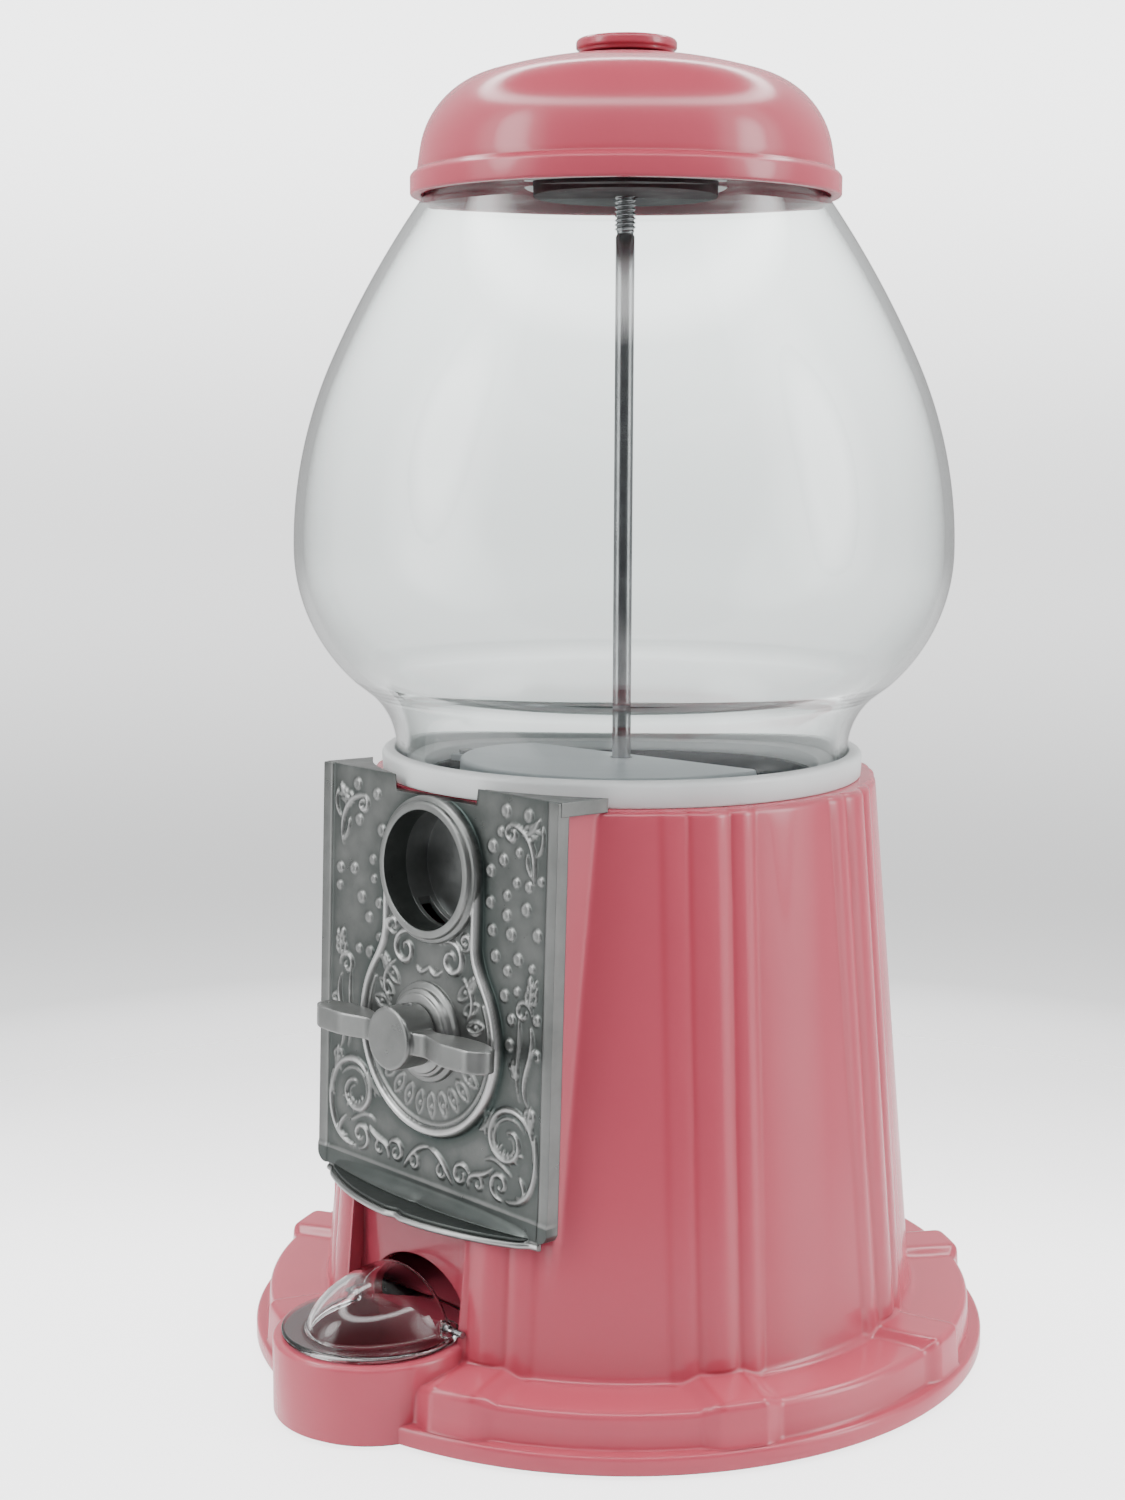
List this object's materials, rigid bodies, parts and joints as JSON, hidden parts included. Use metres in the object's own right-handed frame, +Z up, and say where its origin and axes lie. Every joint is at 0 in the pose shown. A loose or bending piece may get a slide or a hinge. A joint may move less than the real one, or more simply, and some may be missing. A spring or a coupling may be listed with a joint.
{
  "type": "gumball machine",
  "caption": "Coin-operated gumball machine with a fluted cast base, metal coin plate and turning handle, clear tray flap, glass globe on a centre rod, and a screwed-down domed lid.",
  "frame": {"origin": "on the floor under the centre rod, at the middle of the foot pad", "axes": "+Z up along the centre rod, -Y towards the front plate and tray, +X to the right seen from the front"},
  "size_m": [0.2202, 0.2334, 0.381],
  "materials": {
    "pink_paint": "glossy powder coat",
    "pewter": "antique pewter, darkened in the recesses and rubbed bright on the edges",
    "clear_glass": "clear, polished",
    "clear_plastic": "clear moulded acrylic",
    "frosted_seal": "milky translucent",
    "grey_plastic": "satin moulded",
    "dark_plastic": "satin moulded",
    "white_plastic": "moulded",
    "steel": "polished, zinc plated",
    "brass": "machined",
    "rubber": "matte",
    "sheet_steel": "zinc plated sheet"
  },
  "bodies": {
    "machine": {"body_casting": "pink_paint", "foot_pad": "rubber", "base_cover": "sheet_steel", "cover_screws": "steel", "coin_plug": "rubber", "front_plate": "pewter", "plate_screws": "steel", "coin_cup": "pewter", "shaft_bush": "brass", "bearing_plate": "sheet_steel", "bearing_pillars": "steel", "bearing_screws": "steel", "hopper": "dark_plastic", "outlet_shield": "grey_plastic", "shield_screws": "steel", "chute": "pink_paint", "globe": "clear_glass", "globe_seal": "frosted_seal", "centre_rod": "steel", "flap_pins": "steel"},
    "crank": {"handle": "pewter", "handle_set_screw": "steel", "handle_shaft": "steel", "coin_wheel": "pewter", "drive_gear": "dark_plastic", "shaft_clip": "steel"},
    "wheel": {"dispensing_wheel": "grey_plastic"},
    "lid": {"lid": "pink_paint", "lid_gasket": "frosted_seal", "lid_liner": "white_plastic", "lid_washer": "rubber"},
    "knob": {"lid_knob": "pink_paint", "knob_insert": "brass"},
    "flap": {"tray_flap": "clear_plastic"}
  },
  "joints": [
    {"name": "handle_turn", "type": "hinge", "parent": "machine", "child": "crank", "pos_m": [0, -0.0739, 0.1045], "axis": [0, 0.9995, -0.0318], "continuous": true},
    {"name": "wheel_turn", "type": "hinge", "parent": "machine", "child": "wheel", "pos_m": [0, 0, 0.155], "axis": [0, 0, 1], "continuous": true},
    {"name": "lid_lift", "type": "slide", "parent": "machine", "child": "lid", "axis": [0, 0, 1], "range_m": [0, 0.06]},
    {"name": "knob_turn", "type": "hinge", "parent": "lid", "child": "knob", "pos_m": [0, 0, 0.378], "axis": [0, 0, 1], "continuous": true},
    {"name": "flap_lift", "type": "hinge", "parent": "machine", "child": "flap", "pos_m": [0, -0.0856, 0.0265], "axis": [-1, 0, 0], "range_deg": [0, 55]}
  ],
  "couplings": [
    {"joint": "wheel_turn", "follows": "handle_turn", "ratio": 2.625}
  ]
}
